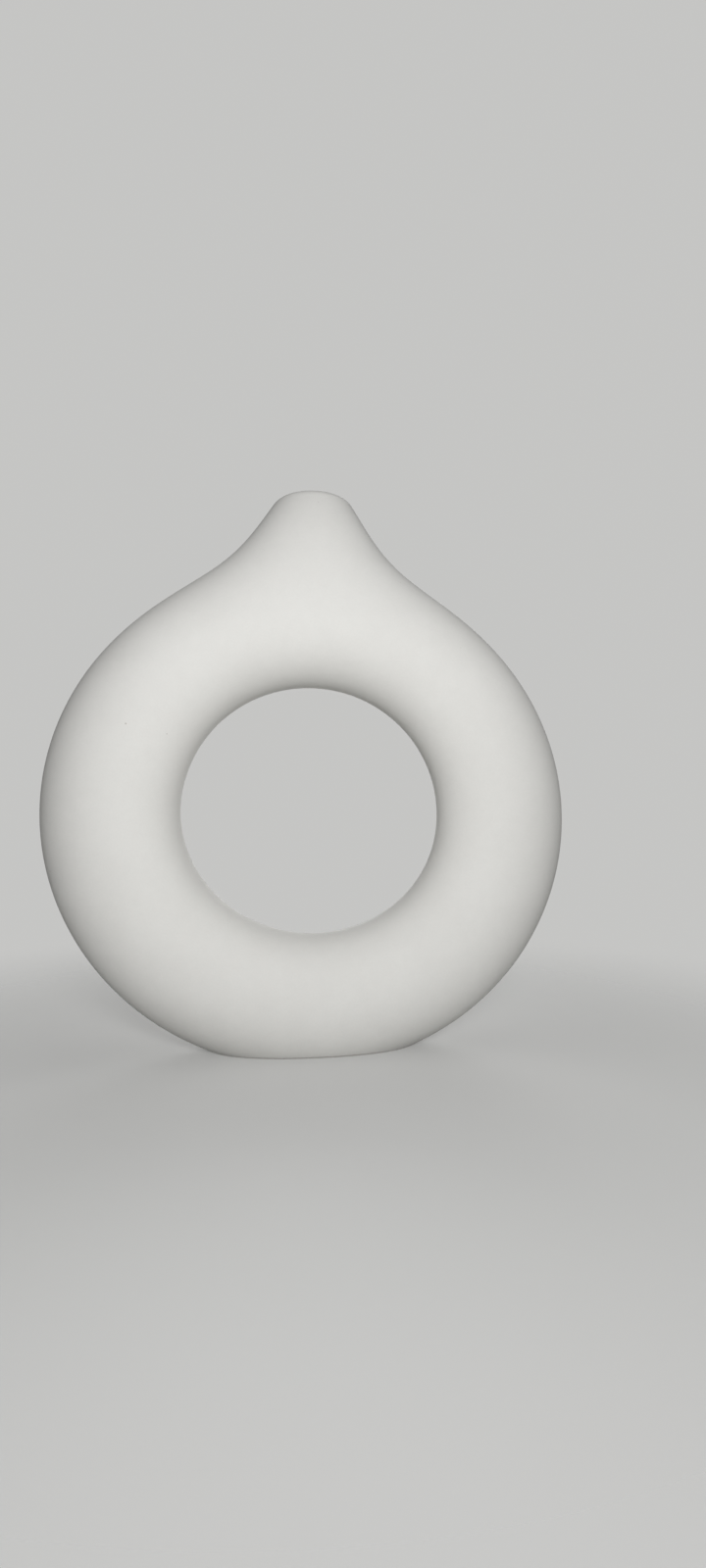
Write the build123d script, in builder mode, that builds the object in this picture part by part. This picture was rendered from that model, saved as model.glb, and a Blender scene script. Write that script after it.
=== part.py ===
from build123d import *

import os
from math import atan2, cos, cosh, hypot, pi, radians, sin, sqrt

# Donut vase: an upright hollow ring of white stoneware with a short bell-shaped neck and a flat foot.
# It is moulded as a front and a back half shell, luted together with slip along the ring's mid-plane,
# and lined with glaze so that it holds water. Millimetres, +Z up, the front faces -Y,
# and the origin lies on the ground under the middle of the ring.

# Ring
ring_half_width = 100.0
ring_half_height = 95.7
hole_half_width = 50.0
hole_height_above = 49.0
hole_height_below = 46.3
ring_depth = 42.0
oval_lean = radians(8.3)  # the oval's long axis dips to the right

# Neck
neck_height = 27.5
mouth_half_width = 13.6
neck_spread_left = radians(7.9)
neck_spread_right = radians(7.4)
neck_lean = radians(0.2)

# Foot
foot_flat = 7.0
foot_round = 3.0

# Walls
wall = 4.0
lip_outside_share = 0.75  # rounding of the lip's outer edge, of the wall
lip_inside_share = 0.3  # and of its sharper inner edge
seam_width = 1.0
glaze_thickness = 0.4
glaze_below_lip_share = 0.625  # of the wall, under the lip's rounding

# Sections along the ring
section_step = radians(4)
slope_step = radians(0.1)
lower_sector = radians(44)

overrun = 5.0

# Heights above the ground, worked out from the sizes above
centre_height = ring_half_height - foot_flat
mouth_height = centre_height + ring_half_height + neck_height
os.makedirs("parts", exist_ok=True)


def oval(half_width, height_above, height_below, angle):
    """Distance from the ring's centre to an oval, at an angle turned clockwise from the top."""
    half_height = height_above if cos(angle) > 0 else height_below
    return 1 / hypot(sin(angle) / half_width, cos(angle) / half_height)


def neck_bell(angle):
    """Share of the neck's full rise at an angle from the top, a bell with a wider left flank."""
    turn = (angle - neck_lean + pi) % (2 * pi) - pi
    spread = neck_spread_right if turn > 0 else neck_spread_left
    return 1 / cosh(turn / spread)


def ring_outline(angle):
    """Distance from the centre to the ring's outer outline, without the neck."""
    return oval(ring_half_width, ring_half_height, ring_half_height, angle - oval_lean)


# The bell's rise is the one that brings the outline to the mouth's half width at the mouth's height
mouth_angle = atan2(mouth_half_width, mouth_height - centre_height)
mouth_reach = hypot(mouth_half_width, mouth_height - centre_height)
neck_rise = (mouth_reach - ring_outline(mouth_angle)) / neck_bell(mouth_angle)


def outer_outline(angle):
    """Distance from the centre to the outer outline, with the neck carried on above the mouth."""
    return ring_outline(angle) + neck_rise * neck_bell(angle)


def hole_outline(angle):
    """Distance from the centre to the ring's hole."""
    return oval(hole_half_width, hole_height_above, hole_height_below, angle - oval_lean)


def section_plane(angle):
    """Plane through the ring's axis at an angle from the top, with x outwards and y to the back."""
    outwards = Vector(sin(angle), 0, cos(angle))
    along_ring = Vector(cos(angle), 0, -sin(angle))
    return Plane(origin=(0, 0, centre_height), x_dir=outwards, z_dir=along_ring)


def tube_section(angle, inset):
    """Closed section of the tube at an angle, drawn in by an inset measured square to the wall."""
    middle = (ring_outline(angle) + hole_outline(angle)) / 2
    before, after = outer_outline(angle - slope_step), outer_outline(angle + slope_step)
    slope = (after - before) / (2 * slope_step * outer_outline(angle))
    outer_reach = outer_outline(angle) - middle - inset * sqrt(1 + slope**2)
    inner_reach = middle - hole_outline(angle) - inset
    half_depth = ring_depth / 2 - inset
    with BuildSketch(section_plane(angle)) as section:
        with BuildLine():
            EllipticalCenterArc((middle, 0), outer_reach, half_depth, start_angle=0, arc_size=90)
            EllipticalCenterArc((middle, 0), inner_reach, half_depth, start_angle=90, arc_size=90)
            EllipticalCenterArc((middle, 0), inner_reach, half_depth, start_angle=180, arc_size=90)
            EllipticalCenterArc((middle, 0), outer_reach, half_depth, start_angle=270, arc_size=90)
        make_face()
    return section.sketch


def loft_sector(first, last, inset):
    """Stretch of the ring between two angles, lofted through evenly spaced sections."""
    spans = max(1, round((last - first) / section_step))
    angles = [first + (last - first) * i / spans for i in range(spans + 1)]
    sections = [tube_section(angle, inset) for angle in angles]
    with BuildPart() as sector:
        loft(sections)
    return sector.part


def ring_form(inset, floor_height, top_height):
    """The whole closed form drawn in by an inset, cut flat at the floor and at the top."""
    upper_end = pi - lower_sector
    upper_stretch = loft_sector(-upper_end, upper_end, inset)
    lower_stretch = loft_sector(upper_end, 2 * pi - upper_end, inset)
    with BuildPart() as form:
        add(upper_stretch)
        add(lower_stretch)
        split(bisect_by=Plane.XY.offset(floor_height), keep=Keep.TOP)
        split(bisect_by=Plane.XY.offset(top_height), keep=Keep.BOTTOM)
    return form.part


outer_form = ring_form(0, 0, mouth_height)
cavity_form = ring_form(wall, wall, mouth_height + overrun)

# Whole hollow body, which the halves and the seam share
with BuildPart() as body:
    add(outer_form)
    foot_face = body.faces().filter_by(Axis.Z).sort_by(Axis.Z)[0]
    fillet(foot_face.edges(), foot_round)
    add(cavity_form, mode=Mode.SUBTRACT)
    lip_face = body.faces().filter_by(Axis.Z).sort_by(Axis.Z)[-1]
    fillet(lip_face.outer_wire().edges(), wall * lip_outside_share)
    lip_face = body.faces().filter_by(Axis.Z).sort_by(Axis.Z)[-1]
    fillet(lip_face.inner_wires()[0].edges(), wall * lip_inside_share)

# Front half shell, moulded with the front of the neck and of the foot
with BuildPart() as front_shell:
    add(body.part)
    split(bisect_by=Plane.XZ.offset(seam_width / 2), keep=Keep.TOP)

# Back half shell
with BuildPart() as back_shell:
    add(body.part)
    split(bisect_by=Plane.XZ.offset(-seam_width / 2), keep=Keep.BOTTOM)

# Slip that lutes the halves together, as thick as the seam: an outer and an inner band
with BuildPart() as seam_slip:
    add(body.part)
    split(bisect_by=Plane.XZ.offset(seam_width / 2), keep=Keep.BOTTOM)
    split(bisect_by=Plane.XZ.offset(-seam_width / 2), keep=Keep.TOP)
inner_band, outer_band = seam_slip.solids().sort_by(lambda solid: solid.bounding_box().size.X)

with BuildPart() as outer_seam_slip:
    add(outer_band)

with BuildPart() as inner_seam_slip:
    add(inner_band)

# Glaze that lines the chamber and the neck up to just below the lip
glaze_top = mouth_height - wall * glaze_below_lip_share
glaze_inset = wall + glaze_thickness
glaze_surface = ring_form(glaze_inset, glaze_inset, mouth_height + overrun)

with BuildPart() as glaze_lining:
    add(cavity_form)
    add(glaze_surface, mode=Mode.SUBTRACT)
    split(bisect_by=Plane.XY.offset(glaze_top), keep=Keep.BOTTOM)

front_shell.part.label = "front_shell"
back_shell.part.label = "back_shell"
outer_seam_slip.part.label = "outer_seam_slip"
inner_seam_slip.part.label = "inner_seam_slip"
glaze_lining.part.label = "glaze_lining"

export_step(front_shell.part, "parts/front_shell.step")
export_step(back_shell.part, "parts/back_shell.step")
export_step(outer_seam_slip.part, "parts/outer_seam_slip.step")
export_step(inner_seam_slip.part, "parts/inner_seam_slip.step")
export_step(glaze_lining.part, "parts/glaze_lining.step")

print("neck rise", round(neck_rise, 2), "mouth height", round(mouth_height, 2))
print("body volume", round(body.part.volume), "bounds", body.part.bounding_box())
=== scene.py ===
"""Donut vase: the looks of an upright hollow ring of matt white stoneware with a bell-shaped neck.

The vase is moulded as a front and a back half shell, luted together with slip along the ring's middle
plane, and lined with a gloss glaze. Each piece is a surface worked out from the vase's own sizes, in
metres. An angle goes round the ring, clockwise from the top as seen from the front, and a turn goes round
the tube's section, from its outermost line over the front to the hole. The front faces -Y, and the origin
lies on the ground.
"""

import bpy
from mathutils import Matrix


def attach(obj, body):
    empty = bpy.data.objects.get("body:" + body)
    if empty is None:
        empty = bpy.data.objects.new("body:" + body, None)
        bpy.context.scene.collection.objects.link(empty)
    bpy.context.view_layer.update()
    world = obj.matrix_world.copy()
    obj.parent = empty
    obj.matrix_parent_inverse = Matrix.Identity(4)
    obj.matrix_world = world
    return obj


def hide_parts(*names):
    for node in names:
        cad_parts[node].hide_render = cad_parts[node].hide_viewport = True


bl_info = {
    "name": "Donut Vase",
    "version": (1, 0, 0),
    "blender": (4, 5, 0),
    "location": "3D View > Sidebar > Donut Vase",
    "description": "Builds a matt white ring vase from its half shells, seam slip and glaze lining",
    "category": "Add Mesh",
}

import math

import bpy
import numpy as np
from bpy.props import FloatProperty, FloatVectorProperty, PointerProperty
from mathutils import Matrix, Vector

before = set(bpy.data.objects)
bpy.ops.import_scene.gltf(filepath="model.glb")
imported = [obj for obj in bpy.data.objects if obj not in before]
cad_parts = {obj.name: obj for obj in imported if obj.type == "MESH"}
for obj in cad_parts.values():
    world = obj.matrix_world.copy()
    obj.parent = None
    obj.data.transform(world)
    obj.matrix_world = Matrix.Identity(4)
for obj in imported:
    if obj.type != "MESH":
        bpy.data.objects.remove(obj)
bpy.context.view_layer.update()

TO_THE_BACK = (0.0, 1.0, 0.0)
TO_THE_FRONT = (0.0, -1.0, 0.0)
UPWARDS = (0.0, 0.0, 1.0)
MIRROR = np.array([1.0, -1.0, 1.0])  # swaps front and back


# Sizes, finishes and stage that a user can change


def number(name, description, default, **limits):
    """A plain number."""
    return FloatProperty(name=name, description=description, default=default, **limits)


def length(name, description, default):
    """A size in metres."""
    return number(name, description, default, min=0.0, unit="LENGTH", precision=5)


def turn_by(name, description, degrees):
    """An angle, kept in radians and given here in degrees."""
    return number(name, description, math.radians(degrees), subtype="ANGLE")


def share(name, description, default):
    """A share from nothing to the whole."""
    return number(name, description, default, min=0.0, max=1.0, subtype="FACTOR")


def power(name, description, default):
    """The power of a lamp in watts."""
    return number(name, description, default, min=0.0, unit="POWER")


def colour(name, description, default):
    """A linear colour."""
    return FloatVectorProperty(
        name=name, description=description, default=default, size=3, min=0.0, max=1.0, subtype="COLOR",
    )


class VasePropertiesForm(bpy.types.PropertyGroup):
    """Sizes of the ring, neck, foot, walls, seam and glaze."""

    ring_half_width: length("Ring Half Width", "Half of the ring's long axis", 0.1)
    ring_half_height: length("Ring Half Height", "Half of the ring's short axis", 0.0957)
    hole_half_width: length("Hole Half Width", "Half of the hole's width", 0.05)
    hole_height_above: length("Hole Above", "The hole's reach above its middle", 0.049)
    hole_height_below: length("Hole Below", "The hole's reach below its middle", 0.0463)
    ring_depth: length("Ring Depth", "Thickness of the ring from front to back", 0.042)
    oval_lean: turn_by("Oval Lean", "How far the oval's long axis dips to the right", 8.3)
    neck_height: length("Neck Height", "Rise of the mouth above the ring", 0.0275)
    mouth_half_width: length("Mouth Half Width", "Half of the neck's width at the mouth", 0.0136)
    neck_spread_left: turn_by("Neck Spread Left", "Spread of the neck's left flank", 7.9)
    neck_spread_right: turn_by("Neck Spread Right", "Spread of the neck's right flank", 7.4)
    neck_lean: turn_by("Neck Lean", "How far the neck leans to the right", 0.2)
    foot_flat: length("Foot Flat", "How much of the ring's bottom is ground off", 0.007)
    foot_round: length("Foot Rounding", "Radius of the foot's edge", 0.003)
    wall: length("Wall", "Thickness of the clay wall", 0.004)
    lip_outside: length("Lip Outside", "Rounding of the lip's outer edge", 0.003)
    lip_inside: length("Lip Inside", "Rounding of the lip's inner edge", 0.0012)
    seam_width: length("Seam Width", "Thickness of the slip between the halves", 0.001)
    glaze_thickness: length("Glaze Thickness", "Thickness of the glaze inside", 0.0004)
    glaze_below_lip: length("Glaze Below Lip", "How far under the mouth the glaze ends", 0.0025)


class VasePropertiesFinish(bpy.types.PropertyGroup):
    """Colours and surface of the stoneware, slip and glaze."""

    clay_light: colour("Clay Light", "Paler patches of the matt white surface", (0.80, 0.794, 0.766))
    clay_dark: colour("Clay Dark", "Deeper patches of the matt white surface", (0.785, 0.778, 0.75))
    bare_clay: colour("Bare Clay", "Clay body where the foot is ground", (0.62, 0.585, 0.52))
    fleck: colour("Fleck", "Mineral flecks that burn through", (0.24, 0.20, 0.16))
    glaze_tint: colour("Glaze Tint", "Gloss glaze inside the neck", (0.80, 0.80, 0.775))
    matt_roughness: share("Matt Roughness", "Roughness of the outside", 0.78)
    gloss_roughness: share("Gloss Roughness", "Roughness of the glaze inside", 0.12)
    patch_size: length("Patch Size", "Size of the paler and deeper patches", 0.035)
    grain_size: length("Grain Size", "Size of the stoneware's fine grain", 0.0007)
    grain_relief: length("Grain Relief", "Depth of the stoneware's fine grain", 0.000018)
    wiping_relief: length("Wiping Relief", "Depth of the sponge marks on the stoneware", 0.00001)
    slip_grain_size: length("Slip Grain Size", "Size of the slip's fine grain", 0.0006)
    slip_grain_relief: length("Slip Grain Relief", "Depth of the slip's fine grain", 0.0000144)
    slip_wiping_relief: length("Slip Wiping Relief", "Depth of the sponge marks on the slip", 0.000012)


class VasePropertiesStage(bpy.types.PropertyGroup):
    """Floor, background, lamps and camera."""

    floor_tone: colour("Floor Tone", "Colour of the plain floor as it is seen", (0.68, 0.68, 0.67))
    floor_bounce: colour("Floor Bounce", "Floor colour for the light it throws back", (0.46, 0.46, 0.45))
    background: colour("Background", "Colour seen behind the vase", (0.56, 0.56, 0.55))
    surround: number("Surround", "Soft light from all sides", 0.1, min=0.0)
    key_power: power("Key Power", "Small softbox behind and above the camera", 0.459)
    top_power: power("Top Power", "Softbox over the vase", 1.8)
    back_power: power("Back Power", "Softbox behind the vase", 3.6)
    camera_place: FloatVectorProperty(
        name="Camera Place", description="Where the camera stands", default=(-0.0216, -0.27418, 0.08544),
        size=3, subtype="TRANSLATION", unit="LENGTH",
    )
    camera_yaw: turn_by("Camera Yaw", "Turn of the camera to the left, seen from above", -7.79)
    camera_pitch: turn_by("Camera Pitch", "Tilt of the camera upwards", 3.02)
    camera_roll: turn_by("Camera Roll", "Roll of the camera", -0.05)
    camera_lens: number("Camera Lens", "Focal length in millimetres", 16.245, min=1.0)


# The vase's form


def surface_normals(surface, first, second):
    """Unit normals of a surface of two parameters: the cross product of a small step along the second
    parameter with a small step along the first."""
    step = 1e-5
    least_length = 1e-30
    along_first = surface(first + step, second) - surface(first - step, second)
    along_second = surface(first, second + step) - surface(first, second - step)
    normal = np.cross(along_second, along_first)
    return normal / np.maximum(np.linalg.norm(normal, axis=-1, keepdims=True), least_length)


class RingForm:
    """The vase's outlines and surfaces as formulas of its sizes."""

    slope_step = math.radians(0.1)
    neck_search = math.radians(25)
    halvings = 50
    least_ease = 1e-9

    def __init__(self, sizes):
        self.sizes = sizes
        self.centre_height = sizes.ring_half_height - sizes.foot_flat
        self.mouth_height = self.centre_height + sizes.ring_half_height + sizes.neck_height
        above = self.mouth_height - self.centre_height
        edge_angle = math.atan2(sizes.mouth_half_width, above)
        edge_reach = math.hypot(sizes.mouth_half_width, above)
        self.neck_rise = (edge_reach - self.ring_outline(edge_angle)) / self.neck_bell(edge_angle)

    @staticmethod
    def oval(half_width, above, below, angle):
        """Distance from the centre to an oval whose upper and lower halves have their own heights."""
        half_height = np.where(np.cos(angle) > 0, above, below)
        return 1 / np.hypot(np.sin(angle) / half_width, np.cos(angle) / half_height)

    def neck_bell(self, angle):
        """Share of the neck's rise: one over the hyperbolic cosine of the angle from the neck's middle,
        divided by the spread of that flank."""
        turned = (angle - self.sizes.neck_lean + math.pi) % (2 * math.pi) - math.pi
        spread = np.where(turned > 0, self.sizes.neck_spread_right, self.sizes.neck_spread_left)
        return 1 / np.cosh(turned / spread)

    def ring_outline(self, angle):
        """Distance from the centre to the ring's outside, without the neck."""
        half_width, half_height = self.sizes.ring_half_width, self.sizes.ring_half_height
        return self.oval(half_width, half_height, half_height, angle - self.sizes.oval_lean)

    def outer_outline(self, angle):
        """Distance from the centre to the outside, with the neck carried on above the mouth."""
        return self.ring_outline(angle) + self.neck_rise * self.neck_bell(angle)

    def hole_outline(self, angle):
        """Distance from the centre to the hole."""
        above, below = self.sizes.hole_height_above, self.sizes.hole_height_below
        return self.oval(self.sizes.hole_half_width, above, below, angle - self.sizes.oval_lean)

    def section(self, angle, inset):
        """The tube's middle and its reach outwards and inwards at an angle, drawn in by an inset that is
        measured square to the wall, so that it grows where the outline is steep."""
        outer, hole = self.outer_outline(angle), self.hole_outline(angle)
        middle = (self.ring_outline(angle) + hole) / 2
        before = self.outer_outline(angle - self.slope_step)
        after = self.outer_outline(angle + self.slope_step)
        slope = (after - before) / (2 * self.slope_step * outer)
        return middle, outer - middle - inset * np.sqrt(1 + slope**2), middle - hole - inset

    def tube(self, angle, turn, inset=0.0):
        """Point of the tube: the section is half an ellipse outside the tube's middle and half of another
        inside it, both as deep as the ring, and the turn runs round them like the angle of a circle."""
        middle, outwards, inwards = self.section(angle, inset)
        radius = middle + np.where(np.cos(turn) > 0, outwards, inwards) * np.cos(turn)
        depth = -(self.sizes.ring_depth / 2 - inset) * np.sin(turn)
        across, height = radius * np.sin(angle), self.centre_height + radius * np.cos(angle)
        return np.stack(np.broadcast_arrays(across, depth, height), -1)

    def wall_surface(self, angle, turn, inset):
        """The tube, set flat on the ground or on the chamber's floor. Close to the flat the height eases
        into it along a parabola that reaches as high as a fillet of the foot's rounding would there."""
        point = self.tube(angle, turn, inset)
        upright = surface_normals(lambda a, b: self.tube(a, b, inset), angle, turn)[..., 2]
        ease = self.sizes.foot_round * (1 - np.abs(upright)) + self.least_ease
        height = point[..., 2] - inset
        eased = (np.clip(height, -ease, ease) + ease) ** 2 / (4 * ease)
        point[..., 2] = inset + np.where(height > ease, height, eased)
        return point

    def wall_normals(self, angle, turn, inset, reverse=False):
        """Unit normals of the wall surface, turned round where it is the inner side of a piece."""
        normals = surface_normals(lambda a, b: self.wall_surface(a, b, inset), angle, turn)
        return -normals if reverse else normals

    def seam_turn(self, inset):
        """Turn at which the tube's outside meets the half shells' parting face."""
        return math.asin(self.sizes.seam_width / 2 / (self.sizes.ring_depth / 2 - inset))

    def neck_edge(self, side, height, turn, inset):
        """Angle from the top at which the neck's wall passes a height on one side, found by halving."""
        low, high = np.zeros_like(height), np.full_like(height, self.neck_search)
        for _ in range(self.halvings):
            middle = (low + high) / 2
            above = self.tube(side * middle, turn, inset)[..., 2] > height
            low, high = np.where(above, middle, low), np.where(above, high, middle)
        return side * (low + high) / 2

    def neck_level(self, place, height, inset):
        """Angle and turn of a point of the neck's wall at a height. Places -1 to 1 run over the front from
        the left seam to the right one, and places beyond them cross the seam by 2 or -2. The angle follows
        the sine of the place's angle round the level oval, and the turn brings the tube to that height."""
        height = np.asarray(height, float)
        left, right = (self.neck_edge(side, height, 0.0, inset) for side in (-1, 1))
        middle, half = (right + left) / 2, (right - left) / 2
        seam = self.seam_turn(inset)
        left_seam, right_seam = (self.neck_edge(side, height, seam, inset) for side in (-1, 1))
        round_left = np.arcsin((middle - left_seam) / half)
        round_right = np.arcsin((right_seam - middle) / half)
        at_seam = np.where(place < 0, round_left, round_right)
        far = np.abs(place)
        past_seam = at_seam + (far - 1) * (math.pi - 2 * at_seam)
        round_oval = np.sign(place) * np.where(far <= 1, far * at_seam, past_seam)
        angle = middle + half * np.sin(round_oval)
        tube_middle, outwards, _ = self.section(angle, inset)
        cosine = ((height - self.centre_height) / np.cos(angle) - tube_middle) / outwards
        return angle, np.arccos(np.clip(cosine, -1, 1)) * np.sign(np.cos(round_oval))

    def lip(self, place, bend):
        """Point of the rounded lip between the cavity, at bend 0, and the outside, at bend pi. It blends
        between both walls at its own height along two quarter ellipses that meet on the crest."""
        sizes = self.sizes
        crest = sizes.lip_outside / (sizes.lip_outside + sizes.lip_inside)
        near_inside = bend < math.pi / 2
        inwards = crest + np.where(near_inside, 1 - crest, crest) * np.cos(bend)
        rounding = np.where(near_inside, sizes.lip_inside, sizes.lip_outside)
        height = self.mouth_height - rounding * (1 - np.sin(bend))
        outside = self.tube(*self.neck_level(place, height, 0.0), 0.0)
        inside = self.tube(*self.neck_level(place, height, sizes.wall), sizes.wall)
        return outside + inwards[..., None] * (inside - outside)


# Grids on the form


def ring_angles(first, last, count):
    """Angles strictly between two angles, closer together near both ends, where the neck's flanks are, and
    over the foot, which lies half way. They invert the running sum of a density."""
    samples = 4001
    extra_at_neck, neck_reach = 5, 5
    extra_at_foot, foot_reach = 0.7, 34
    spot = np.linspace(0, 1, samples)
    degrees = spot * math.degrees(last - first)
    span = degrees[-1]
    density = 1 + extra_at_neck * np.exp(-((degrees / neck_reach) ** 2))
    density += extra_at_neck * np.exp(-(((span - degrees) / neck_reach) ** 2))
    density += extra_at_foot * np.exp(-(((degrees - span / 2) / foot_reach) ** 4))
    running = np.concatenate([[0], np.cumsum((density[1:] + density[:-1]) / 2)])
    wanted = np.linspace(0, running[-1], count + 2)[1:-1]
    return first + (last - first) * np.interp(wanted, running, spot)


def ring_grid(form, inset, rim_height, places, ring_count, row_count, seam):
    """Angles and turns of a grid over the front of the tube. The first columns start at the mouth's rim,
    the others at the seam's turn, and each column's rows are evenly spaced from there to the hole's seam."""
    rim_angle, rim_turn = form.neck_level(places, rim_height, inset)
    around = ring_angles(rim_angle[-1], rim_angle[0] + 2 * math.pi, ring_count)
    angle = np.concatenate([rim_angle, around])[:, None]
    start = np.concatenate([rim_turn, np.full(ring_count, seam)])[:, None]
    row = np.linspace(0, 1, row_count)[None, :]
    return np.broadcast_to(angle, (len(angle), row_count)), start + (math.pi - seam - start) * row


def closed(grid):
    """The grid with its first column repeated at the end."""
    return np.concatenate([grid, grid[:1]])


class Skin:
    """A closed skin gathered from patches: grids of vertex numbers with a normal at every corner."""

    def __init__(self):
        self.points, self.corners, self.normals = [], [], []
        self.count = 0

    def add(self, points):
        """Takes a grid of points and gives back their numbers in the same grid."""
        numbers = self.count + np.arange(points[..., 0].size).reshape(points.shape[:-1])
        self.points.append(points.reshape(-1, 3))
        self.count += numbers.size
        return numbers

    def patch(self, numbers, normals, flip=False):
        """Joins neighbours of a grid to quads that face the side from which the second parameter, turned
        onto the first, runs anticlockwise, or the other side if flipped."""
        normals = np.broadcast_to(np.asarray(normals, float), numbers.shape + (3,))
        for grid, kept in ((numbers, self.corners), (normals, self.normals)):
            cells = np.stack([grid[:-1, :-1], grid[:-1, 1:], grid[1:, 1:], grid[1:, :-1]], 2)
            cells = cells.reshape(-1, 4, *grid.shape[2:])
            kept.append(cells[:, ::-1] if flip else cells)

    def cap(self, loop, facing, flip):
        """Closes a flat loop of an even number of vertices with rungs between its two sides."""
        half = len(loop) // 2
        self.patch(np.stack([loop[:half], loop[::-1][:half]], 1), facing, flip)

    def lip(self, form, places, cavity, outer, flip=False):
        """Rounds the lip over a row of places, between a row of cavity and a row of outer vertices, and
        gives back its numbers: along the form's lip, from bend 0 at the cavity to pi at the outside."""
        lip_rows = 14
        bends = np.linspace(0, math.pi, lip_rows + 2)
        place, bend = np.meshgrid(places, bends, indexing="ij")
        between = self.add(form.lip(place, bend)[:, 1:-1])
        numbers = np.concatenate([cavity[:, None], between, outer[:, None]], 1)
        self.patch(numbers, surface_normals(form.lip, place, bend), flip)
        return numbers

    def piece(self, name, finish, mirror=False):
        """Makes the skin an object at the origin, mirrored from the front to the back if asked for."""
        points, corners, normals = (np.concatenate(a) for a in (self.points, self.corners, self.normals))
        if mirror:
            points, corners, normals = points * MIRROR, corners[:, ::-1], (normals * MIRROR)[:, ::-1]
        mesh = bpy.data.meshes.new(name)
        mesh.vertices.add(len(points))
        mesh.vertices.foreach_set("co", points.astype(np.float32).ravel())
        mesh.loops.add(corners.size)
        mesh.loops.foreach_set("vertex_index", corners.astype(np.int32).ravel())
        mesh.polygons.add(len(corners))
        mesh.polygons.foreach_set("loop_start", np.arange(0, corners.size, 4, dtype=np.int32))
        mesh.polygons.foreach_set("use_smooth", np.ones(len(corners), bool))
        mesh.update(calc_edges=True)
        if mesh.validate():
            raise RuntimeError(f"{name} has faces that do not hold together")
        mesh.normals_split_custom_set(normals.reshape(-1, 3).tolist())
        mesh.materials.append(finish)
        made = bpy.data.objects.new(name, mesh)
        bpy.context.scene.collection.objects.link(made)
        return made


def place_piece(piece, node):
    """Rides a finished piece on the vase in place of its plain solid, which it hides."""
    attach(piece, "root")
    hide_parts(node)


# Nodes


def put(tree, kind, settings=None, **sockets):
    """Adds a node, sets its properties, and gives each input a value or a link. An input is named, or
    numbered as i0, i1 and so on."""
    made = tree.nodes.new(kind)
    for key, value in (settings or {}).items():
        setattr(made, key, value)
    for key, value in sockets.items():
        numbered = key[0] == "i" and key[1:].isdigit()
        socket = made.inputs[int(key[1:]) if numbered else key.replace("_", " ")]
        if isinstance(value, bpy.types.NodeSocket):
            tree.links.new(value, socket)
        else:
            socket.default_value = value
    return made


def sum_of(tree, operation, *values, clamp=False):
    """A math node on up to three values or sockets."""
    inputs = {f"i{index}": value for index, value in enumerate(values)}
    return put(tree, "ShaderNodeMath", {"operation": operation, "use_clamp": clamp}, **inputs).outputs[0]


def vector_sum(tree, operation, output, **inputs):
    """A vector math node, of which one output is given back."""
    return put(tree, "ShaderNodeVectorMath", {"operation": operation}, **inputs).outputs[output]


def noise(tree, where, scale, detail, roughness=0.5):
    """A noise texture between 0 and 1."""
    made = put(tree, "ShaderNodeTexNoise", Vector=where, Scale=scale, Detail=detail, Roughness=roughness)
    return made.outputs["Fac"]


def ramp_between(tree, value, low, high, to_low=0.0, to_high=1.0):
    """Eases a value from one range to another along a smooth step."""
    made = put(
        tree, "ShaderNodeMapRange", {"interpolation_type": "SMOOTHSTEP"},
        Value=value, From_Min=low, From_Max=high, To_Min=to_low, To_Max=to_high,
    )
    return made.outputs["Result"]


def blend_colours(tree, amount, first, second, mode="MIX"):
    """A mix node on two colours."""
    settings = {"data_type": "RGBA", "blend_type": mode}
    return put(tree, "ShaderNodeMix", settings, i0=amount, i6=first, i7=second).outputs[2]


def opaque(rgb):
    """A colour with full alpha."""
    return (*rgb, 1.0)


# Effects, each of them a node group


def new_group(name, inputs, outputs):
    """An empty shader node group with a vector and the given inputs, which are numbers with their defaults
    or colours with None, and with the given outputs and their kinds."""
    group = bpy.data.node_groups.new(name, "ShaderNodeTree")
    group.interface.new_socket("Vector", in_out="INPUT", socket_type="NodeSocketVector")
    for socket, default in inputs.items():
        kind = "NodeSocketColor" if default is None else "NodeSocketFloat"
        made = group.interface.new_socket(socket, in_out="INPUT", socket_type=kind)
        if default is not None:
            made.default_value = default
    for socket, kind in outputs.items():
        group.interface.new_socket(socket, in_out="OUTPUT", socket_type=f"NodeSocket{kind}")
    given = group.nodes.new("NodeGroupInput").outputs
    return group, given, group.nodes.new("NodeGroupOutput").inputs


def cloudy_tone(name):
    """Soft patches of two near colours: a low noise at the patch size, with a finer one added to it."""
    finer_by, finer_share = 3.7, 0.35
    dark_below, light_above = 0.36, 0.64
    group, given, out = new_group(
        name, {"Patch Size": 0.03, "Light": None, "Dark": None}, {"Color": "Color", "Mask": "Float"},
    )
    scale = sum_of(group, "DIVIDE", 1.0, given["Patch Size"])
    wide = noise(group, given["Vector"], scale, 2.0)
    finer = noise(group, given["Vector"], sum_of(group, "MULTIPLY", scale, finer_by), 3.0, 0.55)
    wide = sum_of(group, "MULTIPLY", wide, 1 - finer_share)
    mixed = sum_of(group, "MULTIPLY_ADD", finer, finer_share, wide)
    mask = ramp_between(group, mixed, dark_below, light_above)
    group.links.new(blend_colours(group, mask, given["Dark"], given["Light"]), out["Color"])
    group.links.new(mask, out["Mask"])
    return group


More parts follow.
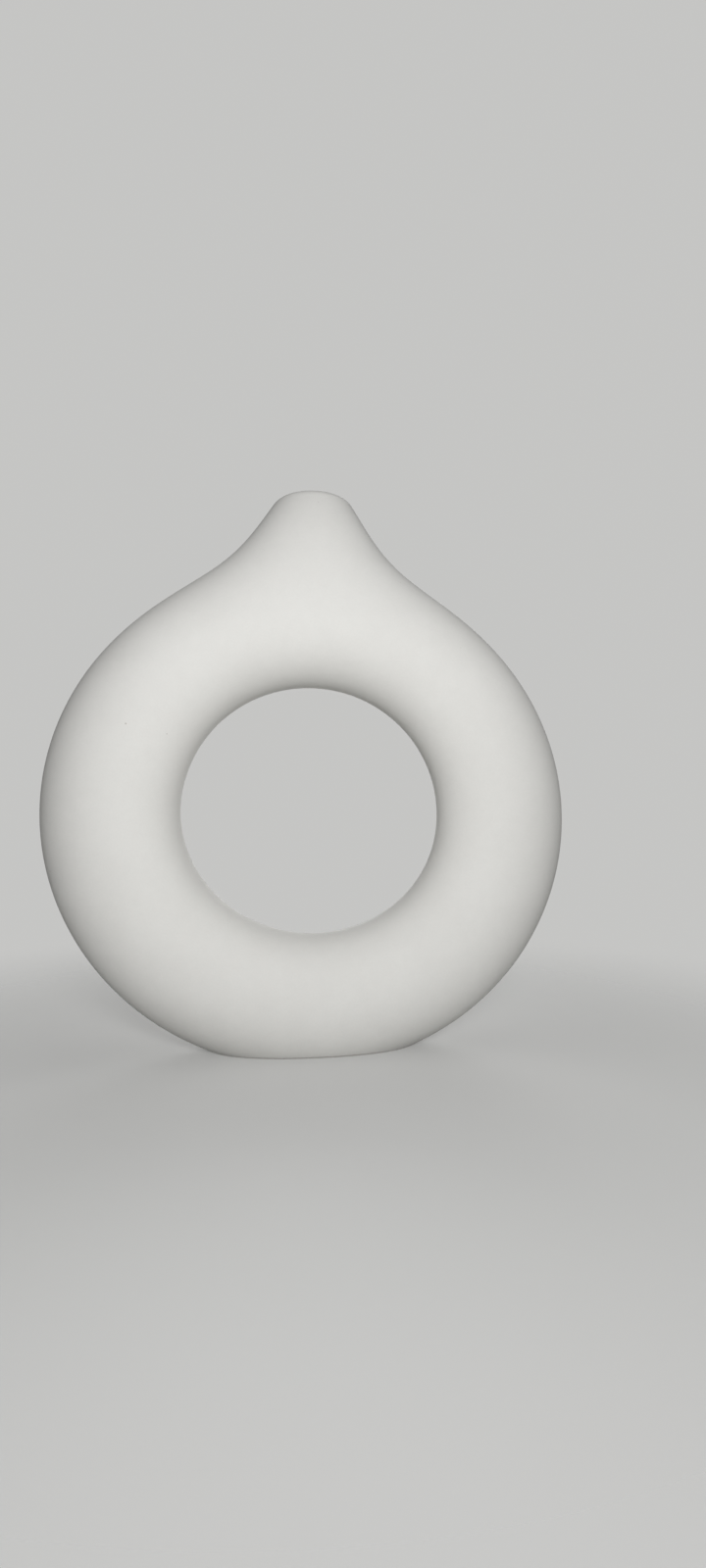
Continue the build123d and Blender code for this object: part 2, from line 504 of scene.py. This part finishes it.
def clay_grain(name):
    """Tooth of fine clay: noise at the grain size with a coarser one added, as a mask and a height."""
    coarser_by, coarse_share = 0.22, 0.4
    group, given, out = new_group(
        name, {"Grain Size": 0.0006, "Relief": 0.00001}, {"Height": "Float", "Mask": "Float"},
    )
    scale = sum_of(group, "DIVIDE", 1.0, given["Grain Size"])
    fine = noise(group, given["Vector"], scale, 2.0, 0.6)
    coarse = noise(group, given["Vector"], sum_of(group, "MULTIPLY", scale, coarser_by), 2.0)
    fine = sum_of(group, "MULTIPLY", fine, 1 - coarse_share)
    mask = sum_of(group, "MULTIPLY_ADD", coarse, coarse_share, fine)
    group.links.new(sum_of(group, "MULTIPLY", mask, given["Relief"]), out["Height"])
    group.links.new(mask, out["Mask"])
    return group


def scattered_dots(name):
    """Small round dots, one at most in each cell of a loose net: the distance to the cell's point against a
    radius that differs from cell to cell, kept only in a share of the cells."""
    least_radius = 0.3  # of the dot size
    core, rim = 0.35, 1.0  # of the dot's radius
    group, given, out = new_group(
        name, {"Spacing": 0.006, "Dot Size": 0.0003, "Share": 0.3}, {"Mask": "Float"},
    )
    scale = sum_of(group, "DIVIDE", 1.0, given["Spacing"])
    net = put(group, "ShaderNodeTexVoronoi", Vector=given["Vector"], Scale=scale, Randomness=0.9)
    chance = put(group, "ShaderNodeSeparateColor", Color=net.outputs["Color"]).outputs
    size = sum_of(group, "MULTIPLY_ADD", chance["Green"], 1 - least_radius, least_radius)
    radius = sum_of(group, "MULTIPLY", given["Dot Size"], size)
    distance = sum_of(group, "MULTIPLY", net.outputs["Distance"], given["Spacing"])
    dot = ramp_between(group, sum_of(group, "DIVIDE", distance, radius), rim, core)
    kept = sum_of(group, "LESS_THAN", chance["Red"], given["Share"])
    group.links.new(sum_of(group, "MULTIPLY", dot, kept), out["Mask"])
    return group


def wiping_marks(name):
    """Faint streaks that a damp sponge leaves along the ring: noise on the distance from its centre and on
    the depth, while the place round the ring is drawn out and counts little."""
    drawn_out = 0.06
    group, given, out = new_group(
        name, {"Centre Height": 0.0887, "Streak Width": 0.002, "Relief": 0.00001},
        {"Height": "Float", "Mask": "Float"},
    )
    parts = put(group, "ShaderNodeSeparateXYZ", Vector=given["Vector"]).outputs
    above = sum_of(group, "SUBTRACT", parts["Z"], given["Centre Height"])
    flat = put(group, "ShaderNodeCombineXYZ", X=parts["X"], Y=0.0, Z=above).outputs[0]
    radius = vector_sum(group, "LENGTH", "Value", i0=flat)
    drawn = vector_sum(group, "SCALE", "Vector", i0=flat, Scale=drawn_out)
    spread = put(group, "ShaderNodeSeparateXYZ", Vector=drawn).outputs
    outwards = sum_of(group, "ADD", spread["X"], radius)
    along = put(group, "ShaderNodeCombineXYZ", X=outwards, Y=parts["Y"], Z=spread["Z"]).outputs[0]
    streak = noise(group, along, sum_of(group, "DIVIDE", 1.0, given["Streak Width"]), 3.0, 0.55)
    group.links.new(sum_of(group, "MULTIPLY", streak, given["Relief"]), out["Height"])
    group.links.new(streak, out["Mask"])
    return group


def ground_foot(name):
    """Where the foot is ground off: low heights, with an edge that wanders a little and scratches inside."""
    wander_scale, wander_reach, wander_least = 160.0, 1.6, 0.2
    clay_above, ground_below = 1.15, 0.85  # of the edge's height
    scratch_turn = (0.0, 0.0, 0.5)
    scratch_scale = (90.0, 1400.0, 90.0)
    scratch_relief = 0.00002
    group, given, out = new_group(name, {"Ground To": 0.0004}, {"Mask": "Float", "Height": "Float"})
    parts = put(group, "ShaderNodeSeparateXYZ", Vector=given["Vector"]).outputs
    wander = noise(group, given["Vector"], wander_scale, 3.0, 0.6)
    wander = sum_of(group, "MULTIPLY_ADD", wander, wander_reach, wander_least)
    edge = sum_of(group, "MULTIPLY", given["Ground To"], wander)
    mask = ramp_between(group, sum_of(group, "DIVIDE", parts["Z"], edge), clay_above, ground_below)
    turned = put(
        group, "ShaderNodeMapping", Vector=given["Vector"], Rotation=scratch_turn, Scale=scratch_scale,
    )
    scratch = sum_of(group, "MULTIPLY", noise(group, turned.outputs[0], 1.0, 2.0), mask)
    group.links.new(mask, out["Mask"])
    group.links.new(sum_of(group, "MULTIPLY", scratch, scratch_relief), out["Height"])
    return group


EFFECTS = {
    "Cloudy Tone": cloudy_tone,
    "Clay Grain": clay_grain,
    "Scattered Dots": scattered_dots,
    "Wiping Marks": wiping_marks,
    "Ground Foot": ground_foot,
}


def effect(tree, name, where, **inputs):
    """The outputs of an effect on given coordinates. Its group is built the first time it is asked for."""
    group = bpy.data.node_groups.get(name) or EFFECTS[name](name)
    return put(tree, "ShaderNodeGroup", {"node_tree": group}, Vector=where, **inputs).outputs


# Materials


def seen_plainly(tree):
    """One for what is seen straight, in gloss or through glass, and nothing for light on other surfaces."""
    path = tree.nodes.new("ShaderNodeLightPath").outputs
    seen = sum_of(tree, "MAXIMUM", path["Is Camera Ray"], path["Is Glossy Ray"])
    return sum_of(tree, "MAXIMUM", seen, path["Is Transmission Ray"])


def new_material(name, swatch):
    """An empty node material with its output, a principled shader and object coordinates."""
    made = bpy.data.materials.new(name)
    made.use_nodes = True
    made.diffuse_color = opaque(swatch)
    tree = made.node_tree
    tree.nodes.clear()
    shader = tree.nodes.new("ShaderNodeBsdfPrincipled")
    output = tree.nodes.new("ShaderNodeOutputMaterial")
    tree.links.new(shader.outputs["BSDF"], output.inputs["Surface"])
    where = tree.nodes.new("ShaderNodeTexCoord").outputs["Object"]
    return made, tree, shader, where


def dress(tree, shader, tone, roughness, height):
    """Gives the shader its colour and roughness, and its normal from a height in metres."""
    bump = put(tree, "ShaderNodeBump", Height=height, Distance=1.0, Strength=1.0)
    tree.links.new(tone, shader.inputs["Base Color"])
    tree.links.new(roughness, shader.inputs["Roughness"])
    tree.links.new(bump.outputs["Normal"], shader.inputs["Normal"])


def stained(tree, mask, strength, tone, stain):
    """A tone with another colour over it where a mask is."""
    return blend_colours(tree, sum_of(tree, "MULTIPLY", mask, strength), tone, opaque(stain))


def matt_clay(name, finish, centre_height, grain_size, grain_relief, wiping_relief):
    """Matt white stoneware or slip: cloudy tone, mineral flecks, pinholes, fine grain, sponge marks and a
    foot that is ground down to the bare clay."""
    pinhole_depth = 0.00008
    made, tree, shader, where = new_material(name, finish.clay_light)
    light, dark = opaque(finish.clay_light), opaque(finish.clay_dark)
    tone = effect(tree, "Cloudy Tone", where, Patch_Size=finish.patch_size, Light=light, Dark=dark)
    tooth = effect(tree, "Clay Grain", where, Grain_Size=grain_size, Relief=grain_relief)
    streaks = effect(tree, "Wiping Marks", where, Centre_Height=centre_height, Relief=wiping_relief)
    holes = effect(tree, "Scattered Dots", where, Spacing=0.0045, Dot_Size=0.0003, Share=0.15)
    flecks = effect(tree, "Scattered Dots", where, Spacing=0.0067, Dot_Size=0.00045, Share=0.12)
    foot = effect(tree, "Ground Foot", where)

    flecked = stained(tree, flecks["Mask"], 0.55, tone["Color"], finish.fleck)
    grain_shade = ramp_between(tree, tooth["Mask"], 0.3, 0.7, 0.975, 1.0)
    grained = blend_colours(tree, 1.0, flecked, grain_shade, "MULTIPLY")
    holed = stained(tree, holes["Mask"], 0.45, grained, finish.bare_clay)
    worn = blend_colours(tree, foot["Mask"], holed, opaque(finish.bare_clay))

    rough = sum_of(tree, "MULTIPLY_ADD", tone["Mask"], -0.05, finish.matt_roughness)
    rough = sum_of(tree, "MULTIPLY_ADD", streaks["Mask"], 0.06, rough)
    rough = sum_of(tree, "MULTIPLY_ADD", foot["Mask"], 0.22, rough, clamp=True)

    height = sum_of(tree, "ADD", tooth["Height"], streaks["Height"])
    height = sum_of(tree, "MULTIPLY_ADD", holes["Mask"], -pinhole_depth, height)
    height = sum_of(tree, "ADD", height, foot["Height"])
    dress(tree, shader, worn, rough, height)
    shader.inputs["Specular IOR Level"].default_value = 0.25
    return made


def gloss_glaze(finish):
    """Gloss lining: a faintly cloudy white with slow ripples, rare pinholes and slightly rougher patches."""
    pinhole_depth = 0.00006
    made, tree, shader, where = new_material("lining_glaze", finish.glaze_tint)
    light, dark = opaque(finish.glaze_tint), opaque(finish.clay_dark)
    tone = effect(tree, "Cloudy Tone", where, Patch_Size=0.012, Light=light, Dark=dark)
    ripple = effect(tree, "Clay Grain", where, Grain_Size=0.004, Relief=0.00004)
    holes = effect(tree, "Scattered Dots", where, Spacing=0.005, Dot_Size=0.0002, Share=0.15)
    holed = stained(tree, holes["Mask"], 0.6, tone["Color"], finish.bare_clay)
    rough = sum_of(tree, "MULTIPLY_ADD", tone["Mask"], 0.08, finish.gloss_roughness, clamp=True)
    height = sum_of(tree, "MULTIPLY_ADD", holes["Mask"], -pinhole_depth, ripple["Height"])
    dress(tree, shader, holed, rough, height)
    shader.inputs["IOR"].default_value = 1.52
    return made


# Operators


class VASE_OT_half_shells(bpy.types.Operator):
    """Moulds the front and the back half shell, with the neck's lip and the flat foot"""

    bl_idname = "vase.half_shells"
    bl_label = "Half Shells"

    mouth_places = 49
    ring_columns = 470
    outer_rows = 84
    cavity_rows = 30

    def execute(self, context):
        sizes, finish = context.scene.vase_form, context.scene.vase_finish
        form = RingForm(sizes)
        skin = Skin()
        places = np.linspace(-1, 1, self.mouth_places)

        def wall_patch(inset, rounding, rows, inside):
            """One wall of the shell, from the lip's rounding to the seam at the hole: its vertex numbers."""
            rim_height = form.mouth_height - rounding
            seam = form.seam_turn(inset)
            angle, turn = ring_grid(form, inset, rim_height, places, self.ring_columns, rows, seam)
            numbers = skin.add(form.wall_surface(angle, turn, inset))
            skin.patch(closed(numbers), closed(form.wall_normals(angle, turn, inset, inside)), flip=inside)
            return numbers

        outer = wall_patch(0.0, sizes.lip_outside, self.outer_rows, False)
        cavity = wall_patch(sizes.wall, sizes.lip_inside, self.cavity_rows, True)
        rim = slice(0, self.mouth_places)
        lip = skin.lip(form, places, cavity[rim, 0], outer[rim, 0])

        skin.patch(closed(np.stack([outer[:, -1], cavity[:, -1]], 1)), TO_THE_BACK)
        seam_edge = closed(np.stack([cavity[:, 0], outer[:, 0]], 1))
        skin.patch(seam_edge[self.mouth_places - 1:], TO_THE_BACK)
        skin.cap(lip[0], TO_THE_BACK, flip=False)
        skin.cap(lip[-1], TO_THE_BACK, flip=True)

        clay = matt_clay(
            "matt_stoneware", finish, form.centre_height,
            finish.grain_size, finish.grain_relief, finish.wiping_relief,
        )
        place_piece(skin.piece("front_half_shell", clay), "front_shell")
        place_piece(skin.piece("back_half_shell", clay, mirror=True), "back_shell")
        return {"FINISHED"}


class VASE_OT_seam_slip(bpy.types.Operator):
    """Fills the seam between the half shells with an outer and an inner band of slip"""

    bl_idname = "vase.seam_slip"
    bl_label = "Seam Slip"

    across = 4

    def execute(self, context):
        sizes, finish = context.scene.vase_form, context.scene.vase_finish
        form = RingForm(sizes)
        slip = matt_clay(
            "luting_slip", finish, form.centre_height,
            finish.slip_grain_size, finish.slip_grain_relief, finish.slip_wiping_relief,
        )
        steps = np.linspace(0, 1, self.across + 1)
        columns = VASE_OT_half_shells.ring_columns
        place_piece(self.outer_band(form, steps, columns, slip), "outer_seam_slip")
        place_piece(self.inner_band(form, steps, columns, slip), "inner_seam_slip")
        return {"FINISHED"}

    @staticmethod
    def outer_band(form, steps, columns, slip):
        """The open band along the ring's outside, from the lip's right end round to its left end."""
        sizes = form.sizes
        band = Skin()
        walls = []
        for inset, rounding in ((0.0, sizes.lip_outside), (sizes.wall, sizes.lip_inside)):
            inside = inset > 0.0
            rim_height = form.mouth_height - rounding
            seam = form.seam_turn(inset)
            right_angle, right_turn = form.neck_level(2 - steps, rim_height, inset)
            left_angle, left_turn = form.neck_level(steps - 2, rim_height, inset)
            left_angle = left_angle + 2 * math.pi
            around = ring_angles(right_angle[-1], left_angle[-1], columns)[:, None]
            angle = np.concatenate([right_angle[None], around + 0 * steps, left_angle[None]])
            across = (2 * steps[None] - 1) * seam + 0 * around
            turn = np.concatenate([right_turn[None], across, left_turn[None]])
            numbers = band.add(form.wall_surface(angle, turn, inset))
            band.patch(numbers, form.wall_normals(angle, turn, inset, inside), flip=inside)
            walls.append(numbers)
        outer, cavity = walls
        for end, places, right in ((0, 2 - steps, True), (-1, steps - 2, False)):
            lip = band.lip(form, places, cavity[end], outer[end], flip=right)
            band.cap(lip[0], TO_THE_BACK, flip=right)
            band.cap(lip[-1], TO_THE_FRONT, flip=not right)
        band.patch(np.stack([cavity[:, 0], outer[:, 0]], 1), TO_THE_BACK)
        band.patch(np.stack([cavity[:, -1], outer[:, -1]], 1), TO_THE_FRONT, flip=True)
        return band.piece("outer_seam_band", slip)

    @staticmethod
    def inner_band(form, steps, columns, slip):
        """The closed band round the hole."""
        band = Skin()
        around = np.linspace(0, 2 * math.pi, columns, endpoint=False)[:, None]
        angle = around + 0 * steps
        walls = []
        for inset in (0.0, form.sizes.wall):
            inside = inset > 0.0
            turn = math.pi + (2 * steps[None] - 1) * form.seam_turn(inset) + 0 * around
            numbers = band.add(form.wall_surface(angle, turn, inset))
            band.patch(closed(numbers), closed(form.wall_normals(angle, turn, inset, inside)), flip=inside)
            walls.append(numbers)
        hole, chamber = walls
        band.patch(closed(np.stack([hole[:, 0], chamber[:, 0]], 1)), TO_THE_FRONT, flip=True)
        band.patch(closed(np.stack([hole[:, -1], chamber[:, -1]], 1)), TO_THE_BACK)
        return band.piece("inner_seam_band", slip)


class VASE_OT_glaze_lining(bpy.types.Operator):
    """Lines the chamber and the neck with gloss glaze up to just under the lip"""

    bl_idname = "vase.glaze_lining"
    bl_label = "Glaze Lining"

    mouth_places = 33
    past_seam = 1.5
    ring_columns = 240
    rows = 26

    def execute(self, context):
        sizes, finish = context.scene.vase_form, context.scene.vase_finish
        form = RingForm(sizes)
        skin = Skin()
        rim_height = form.mouth_height - sizes.glaze_below_lip
        front_places = np.linspace(-1, 1, self.mouth_places)
        places = np.concatenate([[-self.past_seam], front_places, [self.past_seam]])
        last = len(places) - 1
        rims = []
        for inset in (sizes.wall, sizes.wall + sizes.glaze_thickness):
            inside = inset > sizes.wall
            angle, turn = ring_grid(form, inset, rim_height, places, self.ring_columns, self.rows, 0.0)
            points = form.wall_surface(angle, turn, inset)
            normals = form.wall_normals(angle, turn, inset, inside)
            front = skin.add(points)
            back = skin.add(points * MIRROR)
            back[:, -1] = front[:, -1]
            back[last:, 0] = front[last:, 0]
            back[0, 0] = front[0, 0]
            skin.patch(closed(front), closed(normals), flip=inside)
            skin.patch(closed(back), closed(normals * MIRROR), flip=not inside)
            rims.append((front[: len(places), 0], back[: len(places), 0]))
        for side in (0, 1):
            skin.patch(np.stack([rims[1][side], rims[0][side]], 1), UPWARDS, flip=side == 1)
        place_piece(skin.piece("glaze_skin", gloss_glaze(finish)), "glaze_lining")
        return {"FINISHED"}


class VASE_OT_stage(bpy.types.Operator):
    """Sets a plain pale floor and background, soft lamps and the camera"""

    bl_idname = "vase.stage"
    bl_label = "Stage"

    floor_reach = (0.02, 4.0)
    floor_rings = 40
    floor_sides = 96
    floor_patch = 0.2
    fade_reach = (0.07, 0.3)  # distances from the vase between which the floor fades
    fade_near = 0.32  # how much of the background shows through close to the vase

    key_lamp = {
        "size": 0.08, "place": (-0.004, -0.35, 0.161), "towards": (0.0, 0.0, 0.112),
        "spread": math.radians(130),
    }
    top_lamp = {"size": 1.00, "place": (0.20, 0.10, 1.50), "towards": (0.0, 0.0, 0.10)}
    back_lamp = {"size": 0.50, "place": (0.15, 0.75, 0.24), "towards": (0.0, 0.0, 0.10)}

    def execute(self, context):
        look = context.scene.vase_stage
        scene = context.scene
        scene.view_settings.view_transform = "Standard"
        self.floor(look)
        self.surroundings(scene, look)
        self.lamp("key_lamp", look.key_power, **self.key_lamp)
        self.lamp("top_lamp", look.top_power, **self.top_lamp)
        self.lamp("back_lamp", look.back_power, **self.back_lamp)
        self.camera(scene, look)
        return {"FINISHED"}

    def floor(self, look):
        """A level disc of rings that widen outwards: the distance grows by the same factor from ring to
        ring. Its colour fades into the background away from the vase, so that no horizon shows."""
        reach = np.geomspace(*self.floor_reach, self.floor_rings)
        around = np.linspace(0, 2 * math.pi, self.floor_sides, endpoint=False)
        ring, angle = np.meshgrid(reach, around, indexing="ij")
        points = np.stack([ring * np.cos(angle), ring * np.sin(angle), 0 * ring], -1).reshape(-1, 3)
        number_grid = np.arange(ring.size).reshape(ring.shape)
        number_grid = np.concatenate([number_grid, number_grid[:, :1]], 1)
        inner, outer = number_grid[:-1], number_grid[1:]
        faces = np.stack([inner[:, :-1], outer[:, :-1], outer[:, 1:], inner[:, 1:]], 2).reshape(-1, 4)
        mesh = bpy.data.meshes.new("floor")
        mesh.from_pydata(points.tolist(), [], faces.tolist() + [number_grid[0, :-1].tolist()])
        mesh.update()
        mesh.materials.append(self.floor_finish(look))
        floor = bpy.data.objects.new("floor", mesh)
        bpy.context.scene.collection.objects.link(floor)

    def floor_finish(self, look):
        """A plain matt floor with a faintly cloudy tone. It throws back less light than it shows, so that
        the vase's underside stays in shade, and it clears towards the background."""
        made, tree, shader, where = new_material("pale_floor", look.floor_tone)
        flat = vector_sum(tree, "MULTIPLY", "Vector", i0=where, i1=(1.0, 1.0, 0.0))
        away = vector_sum(tree, "LENGTH", "Value", i0=flat)
        light, dark = opaque(look.floor_tone), opaque([0.985 * c for c in look.floor_tone])
        tone = effect(tree, "Cloudy Tone", where, Patch_Size=self.floor_patch, Light=light, Dark=dark)
        seen = seen_plainly(tree)
        shown = blend_colours(tree, seen, opaque(look.floor_bounce), tone["Color"])
        tree.links.new(shown, shader.inputs["Base Color"])
        shader.inputs["Roughness"].default_value = 0.8
        shader.inputs["Specular IOR Level"].default_value = 0.2
        clear = tree.nodes.new("ShaderNodeBsdfTransparent").outputs[0]
        faded = ramp_between(tree, away, *self.fade_reach, self.fade_near, 1.0)
        amount = sum_of(tree, "MULTIPLY", seen, faded)
        both = put(tree, "ShaderNodeMixShader", i0=amount, i1=shader.outputs[0], i2=clear)
        tree.links.new(both.outputs[0], tree.nodes["Material Output"].inputs["Surface"])
        return made

    @staticmethod
    def surroundings(scene, look):
        """Even soft light from all sides, and the background's own colour where it is seen plainly."""
        world = bpy.data.worlds.new("studio")
        world.use_nodes = True
        tree = world.node_tree
        tree.nodes.clear()
        soft = put(tree, "ShaderNodeBackground", Color=(1.0, 1.0, 1.0, 1.0), Strength=look.surround)
        shown = put(tree, "ShaderNodeBackground", Color=opaque(look.background), Strength=1.0)
        seen = seen_plainly(tree)
        both = put(tree, "ShaderNodeMixShader", i0=seen, i1=soft.outputs[0], i2=shown.outputs[0])
        output = tree.nodes.new("ShaderNodeOutputWorld")
        tree.links.new(both.outputs[0], output.inputs["Surface"])
        scene.world = world

    @staticmethod
    def lamp(name, watts, size, place, towards, spread=math.pi):
        """A square softbox that shines from a place towards a point and isn't seen itself. A grid on it
        narrows its spread."""
        light = bpy.data.lights.new(name, "AREA")
        light.spread = spread
        light.energy = watts
        light.size = size
        made = bpy.data.objects.new(name, light)
        made.location = place
        made.rotation_mode = "QUATERNION"
        made.rotation_quaternion = (Vector(towards) - Vector(place)).to_track_quat("-Z", "Y")
        made.visible_camera = False
        bpy.context.scene.collection.objects.link(made)

    @staticmethod
    def camera(scene, look):
        """The camera turned by its yaw, then tilted by its pitch, then rolled."""
        lens = bpy.data.cameras.new("camera")
        lens.lens = look.camera_lens
        lens.clip_start = 0.01
        made = bpy.data.objects.new("camera", lens)
        level = Matrix.Rotation(math.pi / 2, 4, "X")
        turned = Matrix.Rotation(look.camera_yaw, 4, "Z") @ Matrix.Rotation(look.camera_pitch, 4, "X")
        turned = turned @ Matrix.Rotation(look.camera_roll, 4, "Y")
        made.matrix_world = Matrix.Translation(look.camera_place) @ turned @ level
        bpy.context.scene.collection.objects.link(made)
        scene.camera = made


OPERATORS = (VASE_OT_half_shells, VASE_OT_seam_slip, VASE_OT_glaze_lining, VASE_OT_stage)


class VASE_PT_panel(bpy.types.Panel):
    """Lists the vase's sizes, finishes and steps"""

    bl_idname = "VASE_PT_panel"
    bl_label = "Donut Vase"
    bl_space_type = "VIEW_3D"
    bl_region_type = "UI"
    bl_category = "Donut Vase"

    def draw(self, context):
        scene = context.scene
        groups = {"Form": scene.vase_form, "Finish": scene.vase_finish, "Stage": scene.vase_stage}
        for heading, settings in groups.items():
            box = self.layout.box()
            box.label(text=heading)
            for name in type(settings).__annotations__:
                box.prop(settings, name)
        for operator in OPERATORS:
            self.layout.operator(operator.bl_idname)


CLASSES = (VasePropertiesForm, VasePropertiesFinish, VasePropertiesStage, *OPERATORS, VASE_PT_panel)


def register():
    """Makes the classes and the scene's settings known."""
    for made in CLASSES:
        bpy.utils.register_class(made)
    bpy.types.Scene.vase_form = PointerProperty(type=VasePropertiesForm)
    bpy.types.Scene.vase_finish = PointerProperty(type=VasePropertiesFinish)
    bpy.types.Scene.vase_stage = PointerProperty(type=VasePropertiesStage)


def unregister():
    """Takes them away again."""
    del bpy.types.Scene.vase_stage, bpy.types.Scene.vase_finish, bpy.types.Scene.vase_form
    for made in reversed(CLASSES):
        bpy.utils.unregister_class(made)


def main():
    """Builds the vase piece by piece, then the stage."""
    register()
    bpy.ops.vase.half_shells()
    bpy.ops.vase.seam_slip()
    bpy.ops.vase.glaze_lining()
    bpy.ops.vase.stage()


if __name__ == "__main__":
    main()
